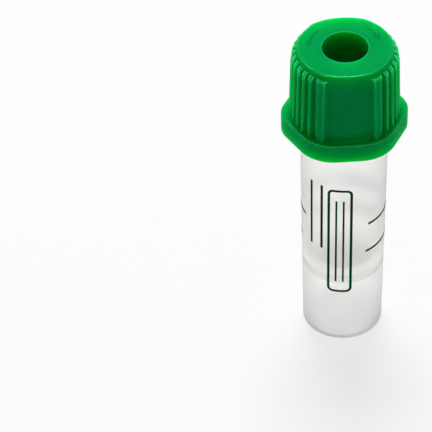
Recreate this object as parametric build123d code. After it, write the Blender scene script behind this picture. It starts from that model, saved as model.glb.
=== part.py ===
"""Capillary blood collection tube with a ribbed pull-off cap.

Two mouldings: a translucent tube, whose small reservoir stands on a hollow
skirt, and a cap that plugs and covers its mouth.

Frame: +Z up along the tube, origin at the centre of the skirt's rim, with a
grip panel of the cap facing -Y. Units are millimetres.
"""
import os

from build123d import *

# ---- Driving dimensions -------------------------------------------------

# Heights
total_height = 41.75       # skirt rim to the cap's top face
cap_height = 11.85         # flange underside to the cap's top face
flange_height = 2.6
shoulder_cover = 1.2       # how far the cap's entry reaches down over the tube's shoulder
skirt_depth = 9.5          # hollow below the reservoir
floor_thickness = 0.9      # between the reservoir and the skirt
scoop_rise = 1.6           # scoop above the rest of the rim
rim_gap = 0.3              # scoop to the roof of the cap's socket
top_web = 1.95             # cap's top face to the roof of its socket
well_depth = 8.05          # blind well in the middle of the cap
plug_floor = 1.1           # under the well

# Tube radii and walls
bore_radius = 3.85         # straight reservoir
neck_wall = 0.52
ledge_width = 0.69         # shoulder that the cap rests on
tube_draft = 0.36          # radius the outside loses from shoulder to foot
skirt_wall = 0.85
floor_slope_width = 1.2    # sloping corner of the reservoir's floor
floor_slope_height = 1.0
skirt_bevel = 0.4          # top corner of the hollow skirt
foot_bevel = 0.12
scoop_plateau = 1.3        # depth of the scoop's level part
scoop_slope = 2.2          # run of the slope behind it

# Cap body
fit_clearance = 0.12       # plug in reservoir, and neck in socket
entry_clearance = 0.15     # tube's shoulder in the cap's entry
body_wall = 1.35           # cap wall between ribs, at the flange
panel_wall = 0.99          # cap wall at the middle of a grip panel
panel_curve = 8.0          # radius of a panel's shallow bulge
body_lean = 0.24           # radius the body loses from the flange up to its round shoulder
panel_lean = 0.08          # the same for a panel
crown_run = 0.28           # the shoulder under the top face, inwards
crown_drop = 1.15          # and downwards
crown_steps = 4            # short cones that follow the shoulder's curve
top_round = 0.15
well_radius = 2.6
well_bevel = 0.08
plug_bevel = 0.5

# Ribs
narrow_ribs = 10           # on each side
narrow_pitch = 9.78        # degrees
narrow_width = 0.52
rib_height = 0.48          # above the body between ribs
thick_angle = 32.3         # thick rib's centre from the panel's centre, degrees
thick_width = 1.0          # across its nose
thick_flare = 0.45         # how far each flank spreads at the root
thick_nose_round = 0.2
rib_root = 0.35            # depth that narrow ribs start inside the body
rib_setback = 0.6          # rib tops below the top face
narrow_end_bevel = 0.33
narrow_end_run = 0.12      # below its bevel a rib leans out this far
thick_end_bevel = 0.12
thick_end_run = 0.05
rib_end_drop = 0.8         # height that this lean takes

# Flange
side_margin = 0.89         # flange beyond the ribs, towards +X and -X
front_margin = 0.8         # flange beyond the grip panels
flange_angle = 60.0        # normal of the slanting edges, from the front edges'
side_corner = 3.0
front_corner = 4.5
flange_top_round = 0.18
flange_bevel = 0.25        # around its underside
panel_foot_bevel = 0.22    # where a panel meets the flange

# Making
reach = 1.0                # how far raw and cutting shapes run past the solid
sink = 0.1                 # how deep added shapes start inside what carries them

# ---- Values that follow -------------------------------------------------

cap_base_z = total_height - cap_height
flange_top_z = cap_base_z + flange_height
shoulder_z = cap_base_z + shoulder_cover
crown_base_z = total_height - crown_drop
roof_z = total_height - top_web
scoop_z = roof_z - rim_gap
rim_z = scoop_z - scoop_rise
floor_z = skirt_depth + floor_thickness
well_base_z = total_height - well_depth
plug_base_z = well_base_z - plug_floor

neck_radius = bore_radius + neck_wall
shoulder_radius = neck_radius + ledge_width
foot_radius = shoulder_radius - tube_draft
skirt_radius = foot_radius - skirt_wall

plug_radius = bore_radius - fit_clearance
socket_radius = neck_radius + fit_clearance
entry_radius = shoulder_radius + entry_clearance
body_radius = socket_radius + body_wall
panel_distance = socket_radius + panel_wall
panel_axis = panel_curve - panel_distance
rib_tip_radius = body_radius + rib_height
thick_root = body_radius - panel_distance

flange_half_length = rib_tip_radius + side_margin
flange_half_width = panel_distance + front_margin


def revolved(section):
    """Solid of revolution about Z from an (r, z) section."""
    return revolve(Plane.XZ * section, Axis.Z)


def polygon(*points):
    """Flat face with straight sides."""
    return make_face(Polyline(*points, close=True))


def disc(radius, base_z, top_z):
    """Upright cylinder between two heights."""
    return Pos(0, 0, base_z) * extrude(Circle(radius), amount=top_z - base_z)


# ---- Tube ---------------------------------------------------------------

def tube_outside():
    """Drafted body with a bevelled foot, shoulder and straight neck."""
    return revolved(polygon(
        (0, 0),
        (foot_radius - foot_bevel, 0),
        (foot_radius, foot_bevel),
        (shoulder_radius, shoulder_z),
        (neck_radius, shoulder_z),
        (neck_radius, scoop_z),
        (0, scoop_z),
    ))


def reservoir():
    """Space inside the tube, from its dished floor up past the mouth."""
    return revolved(polygon(
        (0, floor_z),
        (bore_radius - floor_slope_width, floor_z),
        (bore_radius, floor_z + floor_slope_height),
        (bore_radius, scoop_z),
        (0, scoop_z),
    ))


def skirt_hollow():
    """Hollow under the reservoir, open at the foot."""
    return revolved(polygon(
        (0, 0),
        (skirt_radius, 0),
        (skirt_radius, skirt_depth - skirt_bevel),
        (skirt_radius - skirt_bevel, skirt_depth),
        (0, skirt_depth),
    ))


def rim_cutter():
    """Space above the rim: level, then sloping up to the scoop at the front."""
    back = neck_radius + reach
    scoop_end = -neck_radius + scoop_plateau
    slope_foot = scoop_end + scoop_slope
    slope = Spline(
        (scoop_end, scoop_z),
        (slope_foot, rim_z),
        tangents=((1, 0), (1, 0)),
    )
    outline = slope + Polyline(
        (slope_foot, rim_z),
        (back, rim_z),
        (back, scoop_z + reach),
        (scoop_end, scoop_z + reach),
        (scoop_end, scoop_z),
    )
    return extrude(Plane.YZ * make_face(outline), amount=back, both=True)


def make_tube():
    return tube_outside() - reservoir() - skirt_hollow() - rim_cutter()


# ---- Cap ----------------------------------------------------------------

def crowned(radius, lean):
    """Upright round body of a radius at the flange, leaning in to a round shoulder."""
    base_z = cap_base_z + flange_height / 2
    crown_radius = radius - lean
    edge_radius = crown_radius - crown_run
    outline = Polyline(
        (edge_radius, total_height),
        (0, total_height),
        (0, base_z),
        (radius, base_z),
        (radius, flange_top_z),
        (crown_radius, crown_base_z),
    )
    shoulder = TangentArc(
        (crown_radius, crown_base_z),
        (edge_radius, total_height),
        tangent=(-lean, crown_base_z - flange_top_z),
    )
    outline += Polyline([shoulder @ (k / crown_steps) for k in range(crown_steps + 1)])
    section = make_face(outline)
    edge = section.vertices().sort_by_distance((edge_radius, total_height))[0]
    return revolved(fillet(edge, top_round))


def cap_core():
    """Crowned body, flattened front and back by the bulges of its two panels."""
    body = crowned(body_radius, body_lean)
    bulge = crowned(panel_curve, panel_lean)
    return body & Pos(0, panel_axis, 0) * bulge & Pos(0, -panel_axis, 0) * bulge


def leaned(section):
    """Rib of a given section on the +X side, leaning in as the body does.

    The section's X is the height above the body's radius at the flange.
    """
    lean = Vector(crown_base_z - flange_top_z, body_lean, 0).get_angle(Vector(1, 0, 0))
    length = total_height - flange_top_z + 2 * reach
    bar = Pos(0, 0, -reach) * extrude(section, amount=length)
    return Pos(body_radius, 0, flange_top_z) * Rot(0, -lean, 0) * bar


def narrow_rib():
    """Bar with a round nose."""
    nose = narrow_width / 2
    length = rib_root + rib_height - nose
    section = Pos(length / 2 - rib_root, 0) * Rectangle(length, narrow_width)
    section += Pos(rib_height - nose, 0) * Circle(nose)
    return leaned(section)


def thick_rib():
    """Wide bar whose hollow flanks spread out towards the root."""
    half = thick_width / 2
    foot = half + thick_flare
    outline = Line((rib_height, -half), (rib_height, half))
    outline += TangentArc((rib_height, half), (-thick_root, foot), tangent=(-1, 0))
    outline += Line((-thick_root, foot), (-thick_root, -foot))
    outline += TangentArc((rib_height, -half), (-thick_root, -foot), tangent=(-1, 0))
    section = make_face(outline)
    nose = section.vertices().group_by(Axis.X)[-1]
    return leaned(fillet(nose, thick_nose_round))


def rib_envelope(bevel, run):
    """Where ribs may be: above the flange, with top ends that lean in to a bevel."""
    base_z = flange_top_z - sink
    top_z = total_height - rib_setback
    bevel_base_z = top_z - bevel
    bevel_radius = rib_tip_radius - body_lean - run
    base_radius = bevel_radius + (bevel_base_z - base_z) * run / rib_end_drop
    return revolved(polygon(
        (0, base_z),
        (base_radius, base_z),
        (bevel_radius, bevel_base_z),
        (bevel_radius - bevel, top_z),
        (0, top_z),
    ))


def cap_ribs():
    """Narrow ribs on both sides, and a thick rib beside each panel."""
    narrow = narrow_rib() & rib_envelope(narrow_end_bevel, narrow_end_run)
    thick = thick_rib() & rib_envelope(thick_end_bevel, thick_end_run)
    middle = (narrow_ribs - 1) / 2
    ribs = []
    for side in (0, 180):
        ribs += [Rot(0, 0, side + (k - middle) * narrow_pitch) * narrow for k in range(narrow_ribs)]
        ribs += [Rot(0, 0, side + turn) * thick for turn in (thick_angle - 90, 90 - thick_angle)]
    return ribs


def flange():
    """Six-sided plate with rounded corners, widest towards +X and -X."""
    normal = Vector(0, 1, 0).rotate(Axis.Z, -flange_angle)
    side_x = flange_half_length + side_corner * (1 / normal.X - 1)
    distance = side_x * normal.X
    front_x = (distance - flange_half_width * normal.Y) / normal.X
    plan = Polygon(
        (side_x, 0),
        (front_x, flange_half_width),
        (-front_x, flange_half_width),
        (-side_x, 0),
        (-front_x, -flange_half_width),
        (front_x, -flange_half_width),
        align=None,
    )
    columns = plan.vertices().group_by(Axis.X)
    plan = fillet(columns[0] + columns[-1], side_corner)
    rows = plan.vertices().group_by(Axis.Y)
    plan = fillet(rows[0] + rows[-1], front_corner)
    plate = Pos(0, 0, cap_base_z) * extrude(plan, amount=flange_height)
    plate = fillet(plate.faces().sort_by(Axis.Z)[-1].edges(), flange_top_round)
    return chamfer(plate.faces().sort_by(Axis.Z)[0].edges(), flange_bevel)


def panel_feet():
    """Sloping strips that carry each panel out into the flange, between its thick ribs."""
    bevel = panel_foot_bevel
    section = polygon((-sink, -sink), (bevel + sink, -sink), (-sink, bevel + sink))
    section = Plane.XZ * Pos(panel_curve, flange_top_z) * section
    half_chord = panel_distance * Vector(0, 1, 0).rotate(Axis.Z, -thick_angle).X
    half_arc = Vector(half_chord, panel_curve, 0).get_angle(Vector(0, 1, 0))
    strip = Rot(0, 0, 90 - half_arc) * revolve(section, Axis.Z, revolution_arc=2 * half_arc)
    strip = Pos(0, -panel_axis, 0) * strip
    return [strip, Rot(0, 0, 180) * strip]


def cap_inside():
    """Entry over the tube's shoulder, and the socket for its neck."""
    entry = disc(entry_radius, cap_base_z, shoulder_z)
    return entry + disc(socket_radius, cap_base_z, roof_z)


def cap_plug():
    """Plug that fills the tube's mouth, from inside the top web down."""
    plug_top_z = roof_z + top_web / 2
    return revolved(polygon(
        (0, plug_base_z),
        (plug_radius - plug_bevel, plug_base_z),
        (plug_radius, plug_base_z + plug_bevel),
        (plug_radius, plug_top_z),
        (0, plug_top_z),
    ))


def cap_well():
    """Blind well from the top face down into the plug, with a bevelled mouth."""
    return revolved(polygon(
        (0, well_base_z),
        (well_radius, well_base_z),
        (well_radius, total_height - well_bevel),
        (well_radius + well_bevel + reach, total_height + reach),
        (0, total_height + reach),
    ))


def make_cap():
    body = cap_core() + flange() + panel_feet() + cap_ribs()
    return body - cap_inside() + cap_plug() - cap_well()


def main():
    os.makedirs("parts", exist_ok=True)
    for name, solid in (("tube", make_tube()), ("cap", make_cap())):
        export_step(solid, f"parts/{name}.step")
        box = solid.bounding_box()
        print(name, len(solid.solids()), "solid(s)", round(solid.volume, 2), "mm3", box.min, box.max)


main()
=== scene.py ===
# %% [markdown]
# # A capillary blood collection tube
#
# The real thing is two small mouldings, about 42 mm tall together: a milky tube
# that stands on a hollow skirt, and a green cap with grip ribs and a six-sided
# flange. Their shapes already exist as measured solid models.
# This lesson dresses them: a camera, plain light, two plastics, and the printing
# on the tube's wall.
#
# We begin by loading the solids. They arrive in metres, at their true size and
# place, so nothing here is ever moved to make it fit. The box around them is kept,
# and its top gives the height of the cap's top face.

# %% Load the solids
import math

import bpy
from mathutils import Matrix, Vector


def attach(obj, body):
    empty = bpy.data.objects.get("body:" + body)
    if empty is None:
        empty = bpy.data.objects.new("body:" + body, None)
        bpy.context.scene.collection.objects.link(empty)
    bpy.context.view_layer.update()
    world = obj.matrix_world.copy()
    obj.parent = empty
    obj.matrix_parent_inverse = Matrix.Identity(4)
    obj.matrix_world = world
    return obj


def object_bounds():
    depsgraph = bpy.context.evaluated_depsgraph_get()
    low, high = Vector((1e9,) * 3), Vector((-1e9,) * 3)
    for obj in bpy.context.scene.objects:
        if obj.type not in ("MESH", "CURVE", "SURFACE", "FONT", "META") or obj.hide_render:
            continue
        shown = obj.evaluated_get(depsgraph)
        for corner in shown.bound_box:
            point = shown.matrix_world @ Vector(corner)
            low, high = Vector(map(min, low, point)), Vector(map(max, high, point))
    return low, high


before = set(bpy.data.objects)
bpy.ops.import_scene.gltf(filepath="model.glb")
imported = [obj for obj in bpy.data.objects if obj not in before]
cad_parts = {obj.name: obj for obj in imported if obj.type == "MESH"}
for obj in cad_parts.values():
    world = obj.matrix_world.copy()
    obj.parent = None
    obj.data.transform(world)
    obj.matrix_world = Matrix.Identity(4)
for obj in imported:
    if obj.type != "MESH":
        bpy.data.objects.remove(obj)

MM = 0.001
solid_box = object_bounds()


def in_mm(box):
    """A box's two corners in millimetres, for reading."""
    return [[round(c / MM, 3) for c in corner] for corner in box]


print("solids:", sorted(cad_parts), "box", in_mm(solid_box))

# %% [markdown]
# ## The wall that the printing sits on
#
# A moulded tube is never quite straight: its wall leans by a fraction of a degree
# so that it slips out of the mould. Ink follows that lean. Rather than type the
# radius again, we measure it on the loaded solid: the widest ring near the foot
# and the widest ring of all, under the cap. Two rings fix the cone between them.

# %% Measure the leaning wall
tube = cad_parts["tube"]
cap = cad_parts["cap"]
foot_zone = 1 * MM
rings = [(v.co.xy.length, v.co.z) for v in tube.data.vertices]
shoulder_radius, shoulder_height = max(rings)
foot_radius, foot_height = max(ring for ring in rings if ring[1] < foot_zone)
wall_lean = (shoulder_radius - foot_radius) / (shoulder_height - foot_height)
foot_radius -= wall_lean * foot_height


def wall_radius_at(height):
    """The outside radius of the tube's wall at a height."""
    return foot_radius + wall_lean * height


for height in (0, shoulder_height):
    print(f"wall radius {wall_radius_at(height) / MM:.3f} mm at a height of {height / MM:.1f} mm")
print(f"the wall leans by {math.degrees(math.atan(wall_lean)):.2f} degrees")

# %% [markdown]
# ## A camera with a long lens
#
# Seen from well back through a long lens, a small object keeps its upright lines
# nearly parallel. The camera looks down at a little under 45 degrees, so the
# round top of the cap and the standing side of the tube share the view. It aims at
# a spot on the floor beside the tube, which leaves the tube at the right of the
# picture, and it is rolled a little, as a hand-held camera is.

# %% Camera
camera = bpy.data.objects.new("camera", bpy.data.cameras.new("camera"))
bpy.context.scene.collection.objects.link(camera)
bpy.context.scene.camera = camera
camera_place = Vector((-26.55, -252.6, 258.36)) * MM
camera_aim = Vector((-14.07, 17.83, 0.0)) * MM
camera_roll = math.radians(-1.67)
turn = (camera_aim - camera_place).to_track_quat("-Z", "Y").to_matrix().to_4x4()
turn = turn @ Matrix.Rotation(camera_roll, 4, "Z")
camera.matrix_world = Matrix.Translation(camera_place) @ turn
camera.data.lens = 250
camera.data.sensor_width = 36
camera.data.clip_start = 0.01
camera.data.clip_end = 10
print("camera", round((camera_aim - camera_place).length / MM), "mm from what it aims at")

# %% [markdown]
# ## Wires that can be added up
#
# Shader maths is easier to read as a sum than as a list of nodes. A `Wire` wraps
# one output socket, and writing `a * 2 + b` with wires adds the Math nodes for it.
# The reflected forms, whose names start with r, serve sums that begin with a plain
# number, such as `1 - a`.

# %% Wire
class Wire:
    """An output socket that can be used in a sum."""

    def __init__(self, bench, socket):
        self.bench, self.socket = bench, socket

    def __getitem__(self, output):
        return Wire(self.bench, self.socket.node.outputs[output])

    def maths(self, operation, *values):
        return self.bench.add("ShaderNodeMath", {"operation": operation}, dict(enumerate(values)))

    def within(self, start, end):
        """0 below start, 1 above end, and a soft step between."""
        settings = {"interpolation_type": "SMOOTHSTEP"}
        return self.bench.add("ShaderNodeMapRange", settings, {0: self, 1: start, 2: end})

    def __add__(self, other): return self.maths("ADD", self, other)
    def __radd__(self, other): return self.maths("ADD", other, self)
    def __sub__(self, other): return self.maths("SUBTRACT", self, other)
    def __rsub__(self, other): return self.maths("SUBTRACT", other, self)
    def __mul__(self, other): return self.maths("MULTIPLY", self, other)
    def __rmul__(self, other): return self.maths("MULTIPLY", other, self)
    def __truediv__(self, other): return self.maths("DIVIDE", self, other)
    def __rtruediv__(self, other): return self.maths("DIVIDE", other, self)
    def __neg__(self): return self.maths("MULTIPLY", self, -1.0)
    def __abs__(self): return self.maths("ABSOLUTE", self)


print("reflected sums:", [name for name in vars(Wire) if name.startswith("__r")])

# %% [markdown]
# ## A bench that makes nodes
#
# A `Bench` wraps a node tree, and its one method `add` makes any node: first the
# node's own settings, then what goes into its sockets, a value or a wire. Some
# sockets take several wires, and these come as a list. It hands back a wire from
# one of the node's outputs, which serves sums. The same bench serves materials, the world and
# Geometry Nodes.

# %% Bench
class Bench:
    """A node tree that nodes are added to."""

    def __init__(self, tree):
        self.tree = tree
        tree.nodes.clear()

    def add(self, kind, settings=None, inputs=None, output=0):
        node = self.tree.nodes.new(kind)
        for name, value in (settings or {}).items():
            if name == "stops":
                while len(node.color_ramp.elements) < len(value):
                    node.color_ramp.elements.new(1)
                for element, (position, colour) in zip(node.color_ramp.elements, value):
                    element.position, element.color = position, colour
            else:
                setattr(node, name, value)
        for name, value in (inputs or {}).items():
            wires = value if isinstance(value, list) else [value]
            if isinstance(wires[0], Wire):
                for wire in wires:
                    self.tree.links.new(wire.socket, node.inputs[name])
            else:
                node.inputs[name].default_value = value
        return Wire(self, node.outputs[output]) if node.outputs else node


print("bench methods:", [name for name in vars(Bench) if not name.startswith("__")])

# %% [markdown]
# ## A white room
#
# The tube stands in an empty white room. Two things have to be told apart: what the
# lens sees, which should be white, and what lights the object, which should be
# gentle. The Light Path node tells them apart. For rays that come straight from the
# lens, or by way of a reflection or through clear plastic, the surroundings are
# white at strength 1. For all other rays they are a soft grey fill, also for a ray
# that has bounced off the floor and then passes through the tube: without that last
# rule the floor inside the skirt would be brighter than the floor outside.

# %% World
def seen_directly(bench):
    """1 for rays from the lens, off a gloss or through clear plastic, with no dull bounce before."""
    path = bench.add("ShaderNodeLightPath")
    seen = path["Is Camera Ray"].maths("MAXIMUM", path["Is Camera Ray"], path["Is Glossy Ray"])
    seen = seen.maths("MAXIMUM", seen, path["Is Transmission Ray"])
    return seen * path["Diffuse Depth"].maths("LESS_THAN", path["Diffuse Depth"], 0.5)


fill_strength = 0.1
world = bpy.data.worlds.new("white room")
bpy.context.scene.world = world
world.use_nodes = True
room = Bench(world.node_tree)
strength = fill_strength + (1 - fill_strength) * seen_directly(room)
backdrop = room.add("ShaderNodeBackground", {}, {"Color": (1, 1, 1, 1), "Strength": strength})
room.add("ShaderNodeOutputWorld", {}, {"Surface": backdrop})
print("world fill", fill_strength)

# %% [markdown]
# ## The floor
#
# The floor is a wide pale sheet. Lit alone it would come out light grey, so some
# of its own glow is added for direct rays, just enough to bring the open floor to
# white. The darker the sheet, the more of its white is glow, and the fainter the
# shadow on it. So the sheet has three shades: nearly white for the light that it
# throws back on the tube, a dark one for the lens, which leaves a faint shadow at
# the foot, and one between the two for what is seen through the plastic.

# %% Floor
floor_half = 1.5
floor_shade = 0.9
floor_shade_seen = 0.25
floor_shade_through = 0.45
floor = bpy.data.objects.new("floor", bpy.data.meshes.new("floor"))
corner_signs = ((-1, -1), (1, -1), (1, 1), (-1, 1))
floor_corners = [(x * floor_half, y * floor_half, 0) for x, y in corner_signs]
floor.data.from_pydata(floor_corners, [], [(0, 1, 2, 3)])
bpy.context.scene.collection.objects.link(floor)


def new_material(name):
    """A material with an empty tree, and the bench to fill it."""
    material = bpy.data.materials.new(name)
    material.use_nodes = True
    return material, Bench(material.node_tree)


white_sheet, bench = new_material("white sheet")
path = bench.add("ShaderNodeLightPath")
shade = floor_shade + (floor_shade_seen - floor_shade) * path["Is Camera Ray"]
shade = shade + (floor_shade_through - floor_shade) * path["Is Transmission Ray"]
sheet = bench.add("ShaderNodeBsdfDiffuse", {}, {"Color": shade})
glow = bench.add("ShaderNodeEmission", {}, {"Strength": (1 - shade) * seen_directly(bench)})
both = bench.add("ShaderNodeAddShader", {}, {0: sheet, 1: glow})
bench.add("ShaderNodeOutputMaterial", {}, {"Surface": both})
floor.data.materials.append(white_sheet)
print("floor", 2 * floor_half, "m wide")

# %% [markdown]
# ## Light from above
#
# One broad lamp hangs over the tube and a little behind it. It makes the cap's top
# face the brightest green, draws a thin bright line along the rounded edges, and
# leaves the front of the flange in the cap's own shadow. The standing faces get
# what the white floor throws back. The lamp's power is set so that a colour on the
# top face renders about as it is written.

# %% Lamp
lamp_place = Vector((0, 0.28, 0.66))
lamp_aim = Vector((0, 0, 0.02))
lamp_size = 0.3
lamp_power = 4.6
lamp_name = "overhead softbox"
lamp = bpy.data.objects.new(lamp_name, bpy.data.lights.new(lamp_name, "AREA"))
lamp.data.shape = "SQUARE"
lamp.data.size = lamp_size
lamp.data.energy = lamp_power
lamp.location = lamp_place
lamp.rotation_mode = "QUATERNION"
lamp.rotation_quaternion = (lamp_aim - lamp_place).to_track_quat("-Z", "Y")
bpy.context.scene.collection.objects.link(lamp)
print(lamp_name, lamp_size, "m square,", lamp_power, "W")

# %% [markdown]
# ## Green cap plastic
#
# The cap is polyethylene, coloured through with a strong green and moulded in a
# polished tool, so it is smooth but slightly waxy. A single colour would look like
# paint. What makes it plastic is that light enters it. Green light travels several
# millimetres inside, while red and blue are soon lost, so the walls of the well and
# the edges of the flange glow a pure green where no lamp reaches them. Subsurface
# scattering does this with one radius for each colour.
#
# Both plastics and the ink share a few helpers. Their patterns are worked out from
# the place of a point on the object itself, so a finish moves with its piece.

# %% Helpers for surfaces
def object_place(bench):
    """The place of a point on the object, in metres."""
    return bench.add("ShaderNodeTexCoord", output="Object")


def cloud(bench, place, size, detail=2.0):
    """Soft noise around 0.5 whose blobs are about `size` wide."""
    inputs = {"Vector": place, "Scale": 1 / size, "Detail": detail}
    return bench.add("ShaderNodeTexNoise", {"noise_dimensions": "3D"}, inputs)


def blended(bench, share, first, second):
    """A colour between two others."""
    inputs = {0: share, 6: first, 7: second}
    return bench.add("ShaderNodeMix", {"data_type": "RGBA"}, inputs, output=2)


def from_axis(spot):
    """How far a separated place lies from the upright axis."""
    square = spot["X"] * spot["X"] + spot["Y"] * spot["Y"]
    return square.maths("SQRT", square)


def relief(bench, height, depth, strength=1.0, normal=None):
    """A normal that shades a height from 0 to 1 as if it stood `depth` high."""
    inputs = {"Height": height, "Distance": depth, "Strength": strength}
    if normal:
        inputs["Normal"] = normal
    return bench.add("ShaderNodeBump", {}, inputs)


def finish_material(bench, shader):
    """Join a shader to the way out of the tree."""
    bench.add("ShaderNodeOutputMaterial", {}, {"Surface": shader})


helpers = (object_place, cloud, blended, from_axis, relief, finish_material)
print("surface helpers:", [helper.__name__ for helper in helpers])

# %% [markdown]
# ## Two arrows sunk in the top face
#
# Two curved arrows on the top face point the ways the cap may be turned. They are
# only a few hundredths of a millimetre deep, so they need no geometry: a mask drawn
# in polar coordinates is enough. A point belongs to a shaft when its distance from
# the axis is near the arrow's radius, and to a head when that distance is inside a
# width which shrinks towards the tip. The angle's absolute value mirrors the arrow
# to the other side. The mask sinks the surface and also darkens its colour a little,
# which is painted shade in the shallow grooves.

# %% Arrow mask
arrow_radius = 4.02 * MM
arrow_middle = math.radians(-3)
shaft_start = math.radians(41)
head_start = math.radians(67)
head_end = math.radians(83)
shaft_half_width = 0.1 * MM
head_half_width = 0.48 * MM
mark_softness = 0.05 * MM
mark_reach = 0.1 * MM
top_height = solid_box[1][2]


def inside(distance, softness):
    """1 where a signed distance is well below zero, 0 above it."""
    return 1 - distance.within(-softness, softness)


def turn_arrows(bench, place):
    """1 on both arrows, 0 elsewhere."""
    spot = bench.add("ShaderNodeSeparateXYZ", {}, {0: place})
    off_line = abs(from_axis(spot) - arrow_radius)
    angle = abs(spot["X"].maths("ARCTAN2", spot["X"], spot["Y"]) - arrow_middle)
    soft_angle = mark_softness / arrow_radius
    shaft = inside(off_line - shaft_half_width, mark_softness)
    shaft = shaft * angle.within(shaft_start - soft_angle, shaft_start + soft_angle)
    shaft = shaft * inside(angle - (head_start + head_end) / 2, soft_angle)
    half_width = (head_end - angle) * (head_half_width / (head_end - head_start))
    head = inside(off_line - half_width, mark_softness)
    head = head * angle.within(head_start - soft_angle, head_start + soft_angle)
    on_top = spot["Z"].within(top_height - mark_reach, top_height - mark_reach / 2)
    return shaft.maths("MAXIMUM", shaft, head) * on_top


arrow_ends = [round(math.degrees(angle)) for angle in (shaft_start, head_end)]
print("arrows: from", arrow_ends[0], "to", arrow_ends[1], "degrees, to each side of a line")
print("that line:", round(math.degrees(arrow_middle)), "degrees from the back")

# %% [markdown]
# ## The green itself
#
# The edges of a moulding copy the polish of the tool best, and they are what shows
# gloss first. Ambient Occlusion, turned inside, finds them: from a point on a sharp
# outside edge, short rays into the solid soon come out again. The gloss is a second
# shader mixed into the first: a little everywhere at flat angles, by Fresnel, and
# more on the edges, so they draw a bright line while the faces stay satin. A clear
# gloss would throw back white and grey the deep green, so this one is tinted.

# %% Edge mask
edge_reach = 0.2 * MM
edge_open = (0.08, 0.28)


def convex_edges(bench, reach):
    """Up to 1 on sharp outside edges, 0 on flat faces; rays into the solid go `reach` far."""
    settings = {"inside": True, "only_local": True, "samples": 8}
    solid = bench.add("ShaderNodeAmbientOcclusion", settings, {"Distance": reach}, output="AO")
    return (1 - solid).within(*edge_open)


print("edge mask: rays", edge_reach / MM, "mm long, soft step between", edge_open)

# %% Cap plastic
deep_green = (0.0, 0.335, 0.068, 1)
light_green = (0.0, 0.375, 0.078, 1)
# painted shade: the dark green that the arrows' grooves are darkened towards
groove_shade_green = (0.0, 0.12, 0.02, 1)
gloss_green = (0.08, 1.0, 0.45, 1)
groove_shade_share = 0.4
mark_depth = 0.06 * MM
satin_least = 0.17
satin_spread = 0.06
face_gloss = 0.2
edge_gloss = 0.3
edge_gloss_when_flat = 0.5

cap_plastic, bench = new_material("green cap plastic")
place = object_place(bench)
green = blended(bench, cloud(bench, place, size=2.5 * MM), deep_green, light_green)
arrows = turn_arrows(bench, place)
# painted shade: the arrows' colour is darkened the way shade in their grooves would darken it
green = blended(bench, groove_shade_share * arrows, green, groove_shade_green)
sunk = relief(bench, 1 - arrows, mark_depth)
fine_grain = cloud(bench, place, size=0.25 * MM, detail=1.0)
grain = relief(bench, fine_grain, depth=0.02 * MM, strength=0.1, normal=sunk)
satin = satin_least + satin_spread * cloud(bench, place, size=1.2 * MM)
plastic = bench.add("ShaderNodeBsdfPrincipled", {}, {
    "Base Color": green,
    "Roughness": satin,
    "Specular IOR Level": 0.0,
    "Subsurface Weight": 1.0,
    "Subsurface Radius": (0.02, 1.0, 0.15),
    "Subsurface Scale": 8 * MM,
    "Normal": grain,
})
gloss = bench.add("ShaderNodeBsdfPrincipled", {}, {
    "Base Color": gloss_green, "Metallic": 1.0, "Roughness": satin, "Normal": grain})
flat_angle = bench.add("ShaderNodeFresnel", {}, {"IOR": 1.6})
on_edges = convex_edges(bench, edge_reach) * (edge_gloss + edge_gloss_when_flat * flat_angle)
gloss_share = face_gloss * flat_angle + on_edges
mixed = bench.add("ShaderNodeMixShader", {}, {0: gloss_share, 1: plastic, 2: gloss})
finish_material(bench, mixed)
cap.data.materials[0] = cap_plastic
print("cap finish:", cap_plastic.name)

# %% [markdown]
# ## Milky tube plastic
#
# The tube is natural polypropylene: no pigment, only the plastic's own haze. Light
# that crosses the wall comes out softened, so the wall glows against a white room
# and dims where something dark stands behind it. The outside copies the polish of
# the mould, while the bore is duller, so the far wall is seen only as a blur. The
# index of refraction is set well below the real 1.49: haze passes on light that a
# clear wall would turn back, and the lower index stands in for it. Where the
# reservoir's floor lies across the tube, the wall's colour is darkened in a band.
# This is painted shade of the thick floor seen through the wall. It comes in at the
# floor's underside and fades out above its top.

# %% Tube plastic
clear_milk = (1.0, 1.0, 0.99, 1)
cloudy_milk = (0.99, 0.99, 0.98, 1)
# painted shade: the darker band where the reservoir's thick floor stands behind the wall
band_shade_colour = (0.70, 0.71, 0.67, 1)
band_shade_from = (9.3 * MM, 9.6 * MM)
band_shade_to = (10.4 * MM, 11.0 * MM)
bore_radius = 3.85 * MM
bore_ends = (bore_radius + 0.05 * MM, bore_radius + 0.25 * MM)
outside_roughness = 0.3
bore_roughness = 0.6
roughness_spread = 0.06

tube_plastic, bench = new_material("milky tube plastic")
place = object_place(bench)
milk = blended(bench, cloud(bench, place, size=3.0 * MM), cloudy_milk, clear_milk)
spot = bench.add("ShaderNodeSeparateXYZ", {}, {0: place})
# where that painted shade lies: from just under the reservoir's floor to just above it
band_shade_share = spot["Z"].within(*band_shade_from) * (1 - spot["Z"].within(*band_shade_to))
milk = blended(bench, band_shade_share, milk, band_shade_colour)
in_bore = 1 - from_axis(spot).within(*bore_ends)
dullness = outside_roughness + (bore_roughness - outside_roughness) * in_bore
fine_grain = cloud(bench, place, size=0.5 * MM, detail=1.0)
plastic = bench.add("ShaderNodeBsdfPrincipled", {}, {
    "Base Color": milk,
    "Roughness": dullness + roughness_spread * cloud(bench, place, size=1.5 * MM),
    "IOR": 1.18,
    "Transmission Weight": 0.99,
    "Normal": relief(bench, fine_grain, depth=0.02 * MM, strength=0.1),
})
finish_material(bench, plastic)
tube.data.materials[0] = tube_plastic
print("tube finish:", tube_plastic.name)

# %% [markdown]
# ## Green ink
#
# The printing is a thin film of dark green ink, screen-printed on the wall. Ink of
# this kind is dull, not quite even in thickness, and hides the plastic behind it.

# %% Ink
thick_ink = (0.0, 0.055, 0.014, 1)
thin_ink = (0.0, 0.080, 0.022, 1)
ink_roughness = 0.5
ink_roughness_spread = 0.15

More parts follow.
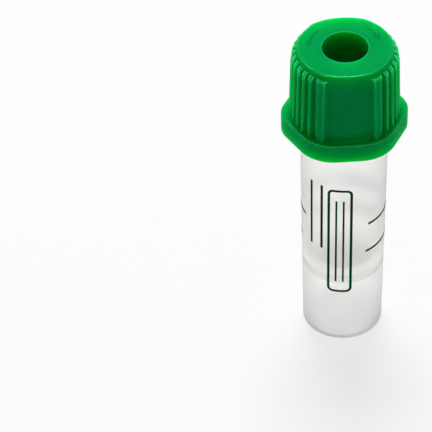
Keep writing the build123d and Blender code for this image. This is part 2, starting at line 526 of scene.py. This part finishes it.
ink, bench = new_material("green ink")
place = object_place(bench)
ink_colour = blended(bench, cloud(bench, place, size=0.35 * MM), thick_ink, thin_ink)
uneven = cloud(bench, place, size=0.6 * MM)
fine_grain = cloud(bench, place, size=0.12 * MM, detail=1.0)
film = bench.add("ShaderNodeBsdfPrincipled", {}, {
    "Base Color": ink_colour,
    "Roughness": ink_roughness + ink_roughness_spread * uneven,
    "Specular IOR Level": 0.0,
    "Normal": relief(bench, fine_grain, depth=0.01 * MM, strength=0.15),
})
finish_material(bench, film)
print("ink:", ink.name)

# %% [markdown]
# ## Trees that grow pieces
#
# Each print is grown by a Geometry Nodes tree with named inputs for its sizes, so
# that one tree can make several prints, and a size can be changed later without
# touching the nodes. Three helpers do the common work. One starts a tree with its
# inputs, one ends it with real geometry and a material, and one grows a piece with
# it and keeps the plain mesh. The tree itself doesn't stay on the piece.

# %% Start and end of a tree
socket_kinds = {float: "NodeSocketFloat", int: "NodeSocketInt", str: "NodeSocketString"}


def size_tree(name, takes_mesh, **sizes):
    """A tree with one named input for each size, its bench and its inputs."""
    tree = bpy.data.node_groups.new(name, "GeometryNodeTree")
    bench = Bench(tree)
    mesh_kind = "NodeSocketGeometry"
    tree.interface.new_socket("Geometry", in_out="OUTPUT", socket_type=mesh_kind)
    if takes_mesh:
        tree.interface.new_socket("Geometry", in_out="INPUT", socket_type=mesh_kind)
    for size, value in sizes.items():
        kind = socket_kinds[type(value)]
        tree.interface.new_socket(size, in_out="INPUT", socket_type=kind).default_value = value
    return tree, bench, bench.add("NodeGroupInput")


def end_tree(bench, geometry, material=None):
    """Close a tree: real geometry, a material, and the way out."""
    if material:
        geometry = bench.add("GeometryNodeRealizeInstances", {}, {"Geometry": geometry})
        dressing = {"Geometry": geometry, "Material": material}
        geometry = bench.add("GeometryNodeSetMaterial", {}, dressing)
    bench.add("NodeGroupOutput", {}, {"Geometry": geometry})


print("kinds of size:", [kind.__name__ for kind in socket_kinds])

# %% From a tree to a plain piece
def grown(name, tree, **sizes):
    """A plain mesh object made by a tree from named sizes."""
    piece = bpy.data.objects.new(name, bpy.data.meshes.new(name))
    bpy.context.scene.collection.objects.link(piece)
    modifier = piece.modifiers.new(tree.name, "NODES")
    modifier.node_group = tree
    for item in tree.interface.items_tree:
        if item.in_out == "INPUT" and item.name in sizes:
            modifier[item.identifier] = sizes[item.name]
    seen = piece.evaluated_get(bpy.context.evaluated_depsgraph_get())
    made = bpy.data.meshes.new_from_object(seen)
    piece.modifiers.clear()
    piece.data = made
    print(name, len(made.polygons), "faces")
    return piece


# %% [markdown]
# ## Bending a flat print round the wall
#
# Every print starts flat, as it does on the printer's screen: x runs round the
# tube, y runs up it. A shared node group then does what the press does. It gives
# the flat shape the thickness of an ink film, closes its back, and bends it round
# the leaning wall, so that each point lands at the radius the wall has at its
# height. The film starts a little inside the wall, so no gap shows under it.

# %% Wrap round the wall
wrap, bench, sizes = size_tree(
    "wrap round the wall", True,
    foot_radius=foot_radius, wall_lean=wall_lean, film=0.02 * MM, sunk=0.02 * MM)
flat = sizes["Geometry"]
raised = bench.add("GeometryNodeExtrudeMesh", {"mode": "FACES"}, {
    "Mesh": flat, "Offset Scale": sizes["film"] + sizes["sunk"], "Individual": False})
back = bench.add("GeometryNodeFlipFaces", {}, {"Mesh": flat})
closed = bench.add("GeometryNodeJoinGeometry", {}, {"Geometry": [raised, back]})
closed = bench.add("GeometryNodeMergeByDistance", {}, {
    "Geometry": closed, "Distance": 0.0001 * MM})
spot = bench.add("ShaderNodeSeparateXYZ", {}, {0: bench.add("GeometryNodeInputPosition")})
wall_radius = sizes["foot_radius"] + sizes["wall_lean"] * spot["Y"]
radius = wall_radius + spot["Z"] - sizes["sunk"]
angle = spot["X"] / wall_radius
wrapped = bench.add("ShaderNodeCombineXYZ", {}, {
    "X": radius * angle.maths("SINE", angle),
    "Y": -(radius * angle.maths("COSINE", angle)),
    "Z": spot["Y"],
})
bent = bench.add("GeometryNodeSetPosition", {}, {"Geometry": closed, "Position": wrapped})
end_tree(bench, bent)


def printed(bench, flat):
    """End a print's tree: bend the flat shape round the wall, and ink it."""
    end_tree(bench, bench.add("GeometryNodeGroup", {"node_tree": wrap}, {"Geometry": flat}), ink)


wrap_sizes = [item.name for item in wrap.interface.items_tree if item.in_out == "INPUT"]
print("inputs of the wrap group:", wrap_sizes)

# %% [markdown]
# ## Fill lines
#
# Two thin lines run round the tube and show where 200 and 400 microlitres stand.
# Each line is broken where its numeral sits. A tree makes one such line from its
# height and four angles, and is used twice. Angles are counted round the tube from
# the middle of the front grip panel.

# %% Fill lines
line_width = 0.3 * MM
line_steps = 64
line_heights = {"200": 14.1 * MM, "400": 18.4 * MM}
line_starts = {"200": math.radians(27), "400": math.radians(30)}
line_ends = {"200": math.radians(276), "400": math.radians(292)}
numeral_angles = {"200": math.radians(156), "400": math.radians(153.5)}
numeral_span = math.radians(40)
numeral_gap = math.radians(2.5)

broken_line, bench, sizes = size_tree(
    "broken line", False,
    height=0.0, start=0.0, gap_start=1.0, gap_end=2.0, end=3.0, line_width=line_width)
wall_radius = wall_radius_at(sizes["height"])
strips = []
for first, last in (("start", "gap_start"), ("gap_end", "end")):
    length = (sizes[last] - sizes[first]) * wall_radius
    middle = (sizes[last] + sizes[first]) * wall_radius / 2
    strip = bench.add("GeometryNodeMeshGrid", {}, {
        "Size X": length, "Size Y": sizes["line_width"],
        "Vertices X": line_steps, "Vertices Y": 2})
    centre = bench.add("ShaderNodeCombineXYZ", {}, {"X": middle, "Y": sizes["height"]})
    strip = bench.add("GeometryNodeSetPosition", {}, {"Geometry": strip, "Offset": centre})
    strips.append(strip)
printed(bench, bench.add("GeometryNodeJoinGeometry", {}, {"Geometry": strips}))

for amount, height in line_heights.items():
    half_gap = numeral_span / 2 + numeral_gap
    line = grown(
        f"fill_line_{amount}", broken_line, height=height, start=line_starts[amount],
        gap_start=numeral_angles[amount] - half_gap,
        gap_end=numeral_angles[amount] + half_gap, end=line_ends[amount])
    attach(line, "tube")

# %% [markdown]
# ## Numerals
#
# The numerals could be drawn by hand, but Blender's own type does the job. A tree
# turns the words into outlines, fills them with small faces that can bend, and
# stretches them from their own box to the printed width and height. The shared
# group then gives them thickness and wraps them.

# %% Numerals
numeral_height = 1.6 * MM
outline_steps = 4

lettering, bench, sizes = size_tree(
    "wrapped lettering", False,
    words="0", width=numeral_height, height=numeral_height, across=0.0, middle=0.0)
outlines = bench.add("GeometryNodeStringToCurves", {}, {"String": sizes["words"], "Size": 1.0})
outlines = bench.add("GeometryNodeRealizeInstances", {}, {"Geometry": outlines})
outlines = bench.add("GeometryNodeSetSplineResolution", {}, {
    "Geometry": outlines, "Resolution": outline_steps})
flat = bench.add("GeometryNodeFillCurve", {"mode": "TRIANGLES"}, {"Curve": outlines})
flat = bench.add("GeometryNodeSubdivideMesh", {}, {"Mesh": flat, "Level": 1})
box = bench.add("GeometryNodeBoundBox", {}, {"Geometry": flat})
low = bench.add("ShaderNodeSeparateXYZ", {}, {0: box["Min"]})
high = bench.add("ShaderNodeSeparateXYZ", {}, {0: box["Max"]})
spot = bench.add("ShaderNodeSeparateXYZ", {}, {0: bench.add("GeometryNodeInputPosition")})
fitted = {}
for axis, size, middle in (("X", "width", "across"), ("Y", "height", "middle")):
    share = (spot[axis] - low[axis]) / (high[axis] - low[axis]) - 0.5
    fitted[axis] = share * sizes[size] + sizes[middle]
fitted = bench.add("ShaderNodeCombineXYZ", {}, fitted)
printed(bench, bench.add("GeometryNodeSetPosition", {}, {"Geometry": flat, "Position": fitted}))

for amount, height in line_heights.items():
    numeral = grown(
        f"numeral_{amount}", lettering, words=amount, middle=height,
        width=numeral_span * wall_radius_at(height),
        across=numeral_angles[amount] * wall_radius_at(height))
    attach(numeral, "tube")

# %% [markdown]
# ## A field to write on
#
# The front of the tube carries a tall rounded frame with ruled lines, for a name or
# a sample number written along the tube. The frame is two rounded rectangles, one
# inside the other, filled between. Ruled lines are one strip, repeated on the
# points of a line of points. Both are bent round the wall by the shared group.

# %% Rounded loops and ruled strips
corner_steps = 8
loop_step = 0.25 * MM
rule_steps = 16


def rounded_loop(bench, width, height, corner):
    """A closed rounded rectangle with points close enough to bend."""
    loop = bench.add("GeometryNodeCurvePrimitiveQuadrilateral", {}, {
        "Width": width, "Height": height})
    loop = bench.add("GeometryNodeFilletCurve", {"mode": "POLY"}, {
        "Curve": loop, "Count": corner_steps, "Radius": corner})
    return bench.add("GeometryNodeResampleCurve", {"mode": "LENGTH"}, {
        "Curve": loop, "Length": loop_step})


def ruled(bench, count, pitch, length, width):
    """Upright strips side by side, about the middle."""
    steps = bench.add("ShaderNodeCombineXYZ", {}, {"X": pitch})
    first = bench.add("ShaderNodeCombineXYZ", {}, {"X": (count - 1) * pitch / -2})
    points = bench.add("GeometryNodeMeshLine", {}, {
        "Count": count, "Start Location": first, "Offset": steps})
    strip = bench.add("GeometryNodeMeshGrid", {}, {
        "Size X": width, "Size Y": length, "Vertices X": 2, "Vertices Y": rule_steps})
    strips = bench.add("GeometryNodeInstanceOnPoints", {}, {"Points": points, "Instance": strip})
    return bench.add("GeometryNodeRealizeInstances", {}, {"Geometry": strips})


def moved(bench, geometry, x, y):
    """The same flat shape at another place on the print."""
    offset = bench.add("ShaderNodeCombineXYZ", {}, {"X": x, "Y": y})
    return bench.add("GeometryNodeSetPosition", {}, {"Geometry": geometry, "Offset": offset})


print("flat shapes:", [shape.__name__ for shape in (rounded_loop, ruled, moved)])

# %% Write-on field
frame_width = 2.95 * MM
frame_height = 16.5 * MM
frame_corner = 0.7 * MM
frame_line = 0.3 * MM
frame_angle = math.radians(-10.5)
frame_middle = 16.25 * MM

field, bench, sizes = size_tree(
    "write-on field", False,
    width=frame_width, height=frame_height, corner=frame_corner, line=frame_line,
    rules=2, rule_pitch=0.85 * MM, rule_length=13.0 * MM, rule_width=0.22 * MM,
    across=0.0, middle=frame_middle)
outer = rounded_loop(bench, sizes["width"], sizes["height"], sizes["corner"])
inner_width = sizes["width"] - 2 * sizes["line"]
inner_height = sizes["height"] - 2 * sizes["line"]
inner = rounded_loop(bench, inner_width, inner_height, sizes["corner"] - sizes["line"])
loops = bench.add("GeometryNodeJoinGeometry", {}, {"Geometry": [outer, inner]})
frame_face = bench.add("GeometryNodeFillCurve", {"mode": "TRIANGLES"}, {"Curve": loops})
rules = ruled(
    bench, sizes["rules"], sizes["rule_pitch"], sizes["rule_length"], sizes["rule_width"])
flat = bench.add("GeometryNodeJoinGeometry", {}, {"Geometry": [frame_face, rules]})
printed(bench, moved(bench, flat, sizes["across"], sizes["middle"]))
field_across = frame_angle * wall_radius_at(frame_middle)
field_piece = grown("write_on_field", field, across=field_across)
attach(field_piece, "tube")

# %% [markdown]
# ## Two rules beside the field
#
# Beside the frame stand two plain ruled lines, for a second short note. They come
# from the same strips without a frame, a little wider and further apart.

# %% Side rules
side_angle = math.radians(-45)
side_middle = 19.7 * MM

side_field, bench, sizes = size_tree(
    "side rules", False,
    rules=2, rule_pitch=1.5 * MM, rule_length=10.0 * MM, rule_width=0.3 * MM,
    across=0.0, middle=side_middle)
flat = ruled(
    bench, sizes["rules"], sizes["rule_pitch"], sizes["rule_length"], sizes["rule_width"])
printed(bench, moved(bench, flat, sizes["across"], sizes["middle"]))
side_across = side_angle * wall_radius_at(side_middle)
side_piece = grown("side_rules", side_field, across=side_across)
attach(side_piece, "tube")

# %% [markdown]
# ## Close the lesson
#
# The last step sets the view transform to Standard, so colours render as they are
# written.

# %% Finish
bpy.context.scene.view_settings.view_transform = "Standard"
